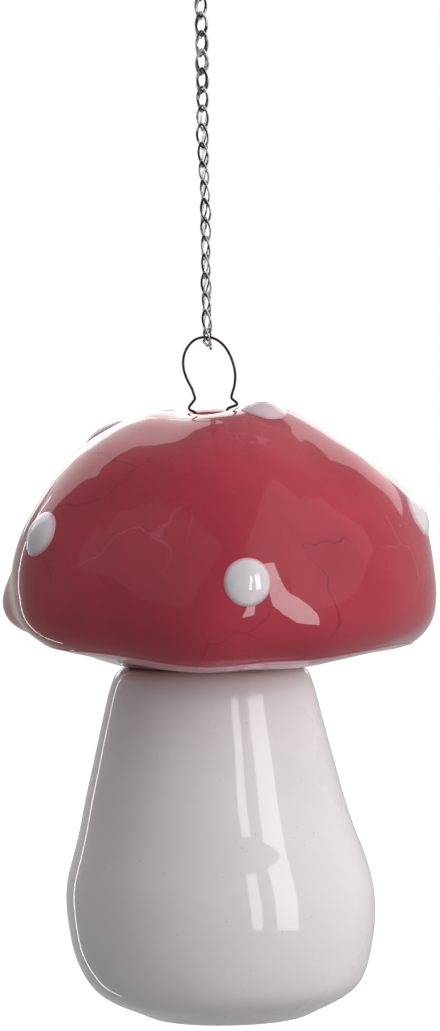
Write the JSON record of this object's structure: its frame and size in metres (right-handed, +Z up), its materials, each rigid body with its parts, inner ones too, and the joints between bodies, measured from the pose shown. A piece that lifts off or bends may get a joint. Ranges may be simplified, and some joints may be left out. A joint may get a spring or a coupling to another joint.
{
  "type": "mushroom ornament",
  "caption": "Hanging glazed ceramic mushroom: hollow lobed red cap with raised white dots on a white waisted stem, held by a sprung wire hanger on a doubled cord loop.",
  "frame": {"origin": "the point inside the cord's loop, just below its knot, where a hook holds the loop", "axes": "+Z up, against the hang; -Y towards the viewer; +X to the viewer's right, in the plane of the wire hanger"},
  "size_m": [0.0567, 0.0575, 0.1511],
  "materials": {
    "red_glaze": "gloss",
    "white_glaze": "gloss",
    "dot_glaze": "gloss",
    "wire": "satin",
    "cord": "metallised yarn"
  },
  "bodies": {
    "hanging_loop": {"hanging_cord": "cord", "knot": "cord"},
    "hanger": {"wire_hanger": "wire"},
    "mushroom": {"stem": "white_glaze", "cap": "red_glaze", "front_dot": "dot_glaze", "right_dot": "dot_glaze", "back_right_dot": "dot_glaze", "back_left_dot": "dot_glaze", "left_dot": "dot_glaze", "crown_dot": "dot_glaze", "upper_right_dot": "dot_glaze", "upper_left_dot": "dot_glaze"}
  },
  "joints": [
    {"name": "hanger_swing", "type": "hinge", "parent": "hanging_loop", "child": "hanger", "pos_m": [0, 0, -0.04492], "axis": [1, 0, 0], "range_deg": [-60, 60]},
    {"name": "mushroom_rock", "type": "hinge", "parent": "hanger", "child": "mushroom", "pos_m": [0.0004, 0, -0.05733], "axis": [1, 0, 0], "range_deg": [-10, 10]}
  ]
}
